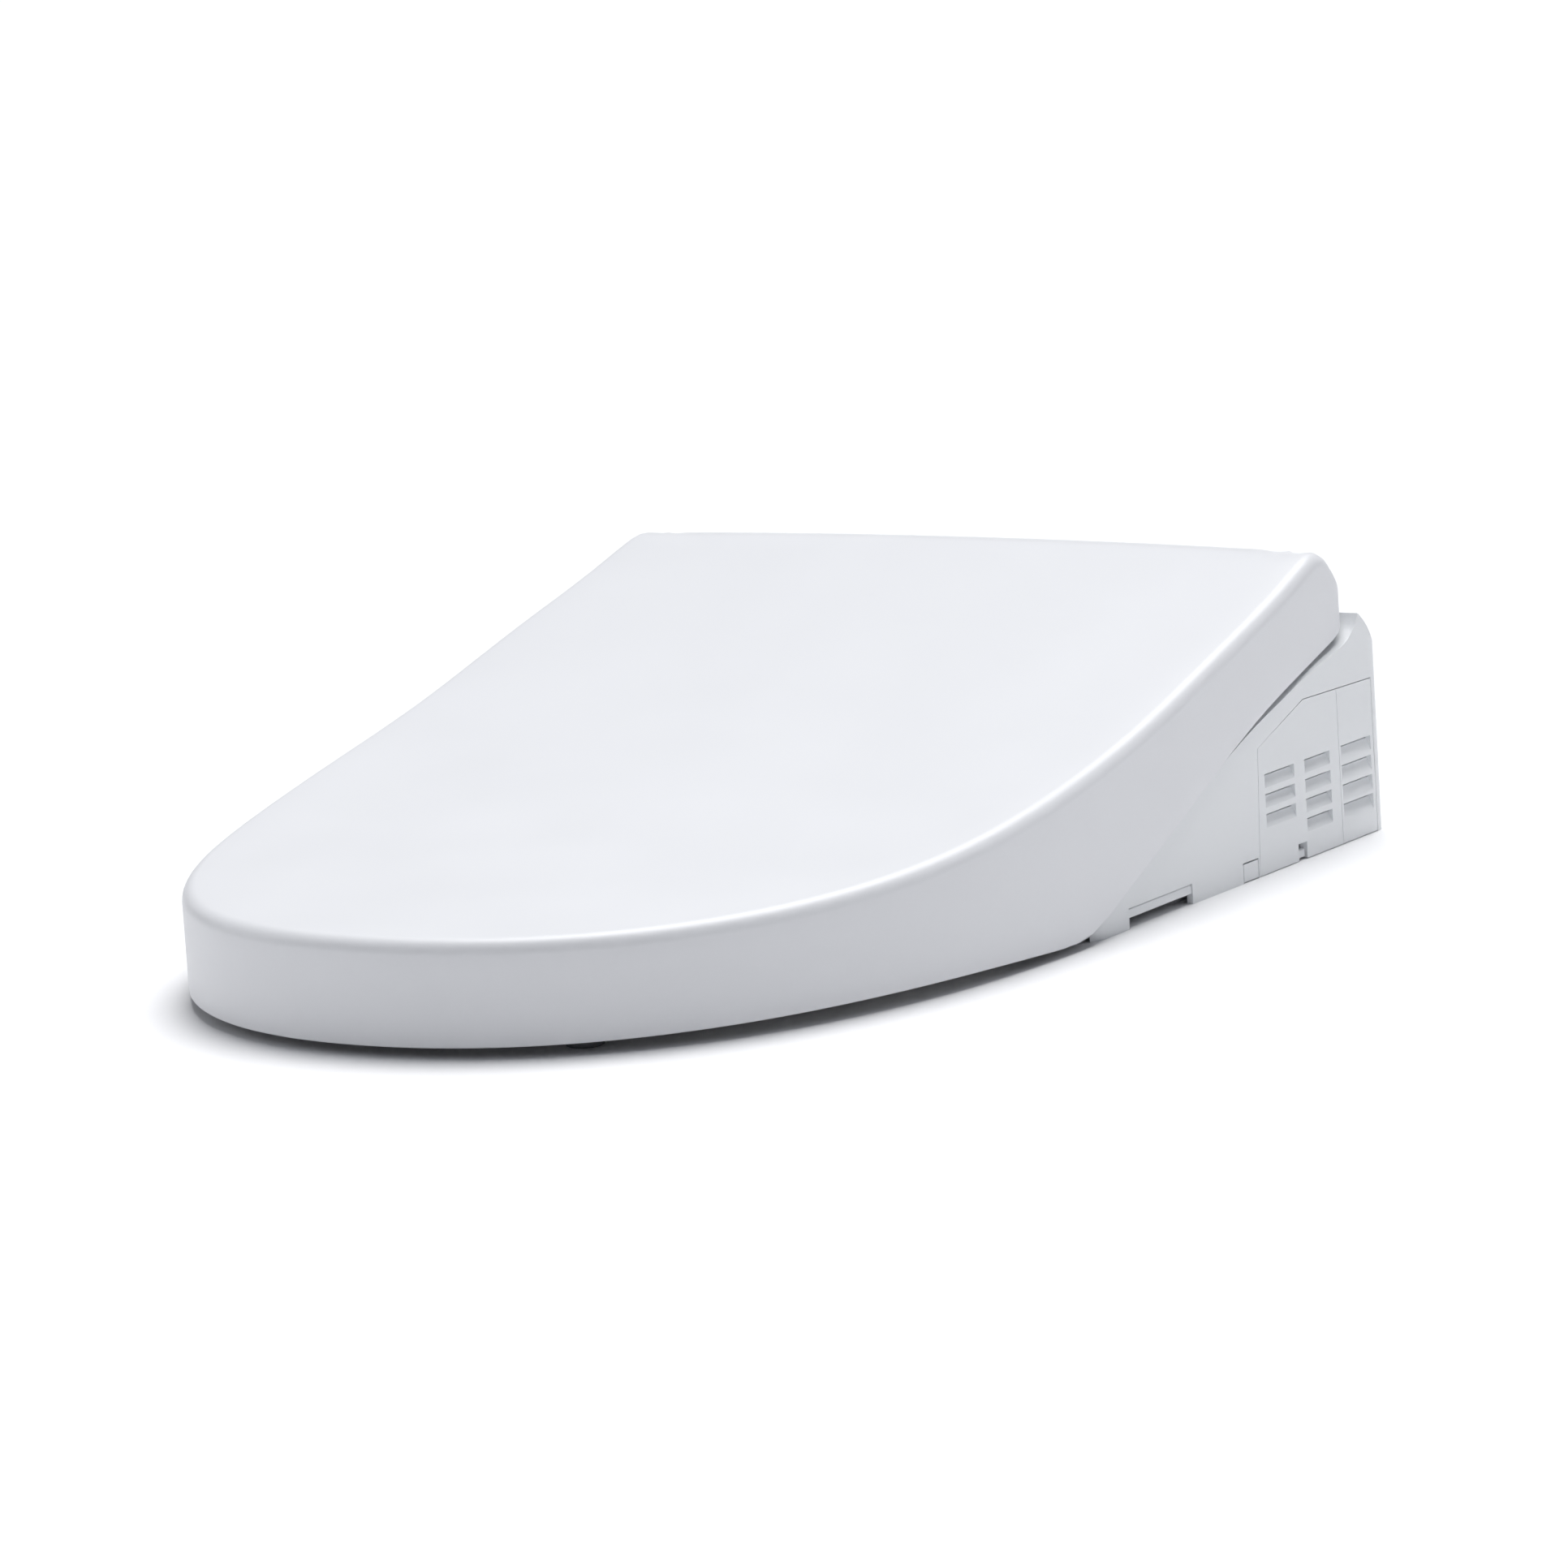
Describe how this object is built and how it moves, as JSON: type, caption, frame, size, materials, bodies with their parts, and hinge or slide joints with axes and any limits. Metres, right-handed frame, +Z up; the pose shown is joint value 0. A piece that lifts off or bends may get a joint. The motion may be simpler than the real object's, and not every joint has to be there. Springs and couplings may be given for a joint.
{
  "type": "electric bidet seat",
  "caption": "Electric bidet toilet seat with a sloping wraparound lid, heated ring seat, rear works housing, extending wash nozzle, warm air dryer and bolt-on mounting plate.",
  "frame": {"origin": "midpoint between the two fixing bolt holes, on the plane that the housing, plate and seat bumpers rest on", "axes": "+Z up, -Y towards the front of the seat, +X towards the side with the louvred cover"},
  "size_m": [0.3842, 0.5443, 0.1371],
  "materials": {
    "lid_abs": "moulded gloss white ABS",
    "seat_abs": "moulded gloss white resin",
    "housing_abs": "moulded satin-gloss white ABS",
    "button_abs": "moulded pale grey ABS",
    "works_plastic": "moulded grey engineering plastic",
    "soft_rubber": "moulded grey rubber",
    "stainless_steel": "turned stainless steel",
    "nozzle_tip_resin": "moulded resin",
    "nickel_brass": "nickel-plated brass",
    "heating_foil": "aluminium foil and resistance wire",
    "carbon_foam": "open-cell carbon foam",
    "water_tube": "silicone tube",
    "circuit_board": "solder-masked laminate",
    "sensor_lens": "dark infrared-pass acrylic"
  },
  "bodies": {
    "mounting_plate": {"mounting_plate": "works_plastic", "adjuster_inserts": "works_plastic", "plate_pad": "soft_rubber"},
    "housing": {"upper_case": "housing_abs", "lower_case": "housing_abs", "case_screws": "stainless_steel", "hinge_pin_right": "stainless_steel", "hinge_pin_left": "stainless_steel", "seat_damper": "works_plastic", "lid_damper": "works_plastic", "notch_bar_right": "housing_abs", "notch_bar_left": "housing_abs", "user_sensor_window": "sensor_lens", "mains_gland": "soft_rubber", "deodoriser_fan_housing": "works_plastic", "wand_guide": "works_plastic", "wand_motor": "stainless_steel", "dryer_fan_housing": "works_plastic", "dryer_motor": "stainless_steel", "dryer_duct": "works_plastic", "dryer_heater": "heating_foil", "water_inlet_fitting": "nickel_brass", "solenoid_valve": "works_plastic", "water_pump": "works_plastic", "water_heater": "works_plastic", "warm_water_pipe": "water_tube", "drain_valve": "works_plastic", "aux_panel": "housing_abs", "control_board": "circuit_board", "power_board": "circuit_board"},
    "seat": {"seat_top_shell": "seat_abs", "seat_bottom_plate": "seat_abs", "seat_heater": "heating_foil", "seat_bumpers": "soft_rubber", "seat_hinge_arm_right": "works_plastic", "seat_hinge_arm_left": "works_plastic"},
    "lid": {"lid_shell": "lid_abs", "lid_hinge_bracket_right": "works_plastic", "lid_hinge_bracket_left": "works_plastic", "lid_bumpers": "soft_rubber"},
    "wand_stage": {"wand_stage": "stainless_steel", "wand_rack": "works_plastic"},
    "nozzle": {"nozzle_tube": "stainless_steel", "nozzle_tip": "nozzle_tip_resin"},
    "nozzle_shutter": {"nozzle_shutter": "housing_abs"},
    "drive_pinion": {"drive_pinion": "works_plastic"},
    "dryer_flap": {"dryer_outlet_flap": "housing_abs"},
    "dryer_impeller": {"dryer_impeller": "works_plastic"},
    "deodoriser_rotor": {"deodoriser_fan_rotor": "works_plastic"},
    "release_button": {"release_button": "housing_abs"},
    "side_cover": {"side_cover_right": "housing_abs", "cover_latch": "housing_abs"},
    "filter_drawer": {"rear_vent_panel": "housing_abs", "filter_cassette": "works_plastic", "filter_pad": "carbon_foam"},
    "drain_knob": {"drain_knob": "housing_abs"},
    "aux_button_1": {"aux_button_1": "button_abs"},
    "aux_button_2": {"aux_button_2": "button_abs"},
    "aux_button_3": {"aux_button_3": "button_abs"}
  },
  "joints": [
    {"name": "unit_slide", "type": "slide", "parent": "mounting_plate", "child": "housing", "axis": [0, -1, 0], "range_m": [0, 0.06]},
    {"name": "seat_hinge", "type": "hinge", "parent": "housing", "child": "seat", "pos_m": [0, 0.026, 0.112], "axis": [-1, 0, 0], "range_deg": [0, 100]},
    {"name": "lid_hinge", "type": "hinge", "parent": "seat", "child": "lid", "pos_m": [0, 0.026, 0.112], "axis": [1, 0, 0], "range_deg": [-105, 0]},
    {"name": "wand_slide", "type": "slide", "parent": "housing", "child": "wand_stage", "axis": [0, -0.9135, -0.4067], "range_m": [0, 0.06]},
    {"name": "nozzle_slide", "type": "slide", "parent": "housing", "child": "nozzle", "axis": [0, -0.9135, -0.4067], "range_m": [0, 0.13]},
    {"name": "shutter_hinge", "type": "hinge", "parent": "housing", "child": "nozzle_shutter", "pos_m": [0, -0.1096, 0.0276], "axis": [-1, 0, 0], "range_deg": [0, 105]},
    {"name": "pinion_spin", "type": "hinge", "parent": "housing", "child": "drive_pinion", "pos_m": [0, -0.04597, 0.06104], "axis": [-1, 0, 0], "range_deg": [0, 573]},
    {"name": "dryer_flap_hinge", "type": "hinge", "parent": "housing", "child": "dryer_flap", "pos_m": [0.054, -0.1096, 0.0276], "axis": [-1, 0, 0], "range_deg": [0, 75]},
    {"name": "impeller_spin", "type": "hinge", "parent": "housing", "child": "dryer_impeller", "pos_m": [0.054, 0, 0.048], "axis": [1, 0, 0], "continuous": true},
    {"name": "deodoriser_spin", "type": "hinge", "parent": "housing", "child": "deodoriser_rotor", "pos_m": [0.138, 0.039, 0.031], "axis": [1, 0, 0], "continuous": true},
    {"name": "release_push", "type": "slide", "parent": "housing", "child": "release_button", "axis": [-1, 0, 0], "range_m": [0, 0.0035], "stiffness_N_per_m": 500, "springref_m": -0.004},
    {"name": "cover_pull", "type": "slide", "parent": "housing", "child": "side_cover", "axis": [1, 0, 0], "range_m": [0, 0.02]},
    {"name": "filter_pull", "type": "slide", "parent": "housing", "child": "filter_drawer", "axis": [1, 0, 0], "range_m": [0, 0.045]},
    {"name": "drain_turn", "type": "hinge", "parent": "housing", "child": "drain_knob", "pos_m": [-0.187, 0.026, 0.026], "axis": [-1, 0, 0], "range_deg": [0, 90]},
    {"name": "aux_press_1", "type": "slide", "parent": "housing", "child": "aux_button_1", "axis": [1, 0, 0], "range_m": [0, 0.0012], "stiffness_N_per_m": 400, "springref_m": -0.001},
    {"name": "aux_press_2", "type": "slide", "parent": "housing", "child": "aux_button_2", "axis": [1, 0, 0], "range_m": [0, 0.0012], "stiffness_N_per_m": 400, "springref_m": -0.001},
    {"name": "aux_press_3", "type": "slide", "parent": "housing", "child": "aux_button_3", "axis": [1, 0, 0], "range_m": [0, 0.0012], "stiffness_N_per_m": 400, "springref_m": -0.001}
  ],
  "couplings": [
    {"joint": "nozzle_slide", "follows": "wand_slide", "ratio": 2.1667},
    {"joint": "shutter_hinge", "follows": "wand_slide", "rad_per_m": 30.543},
    {"joint": "pinion_spin", "follows": "wand_slide", "rad_per_m": 166.67}
  ]
}
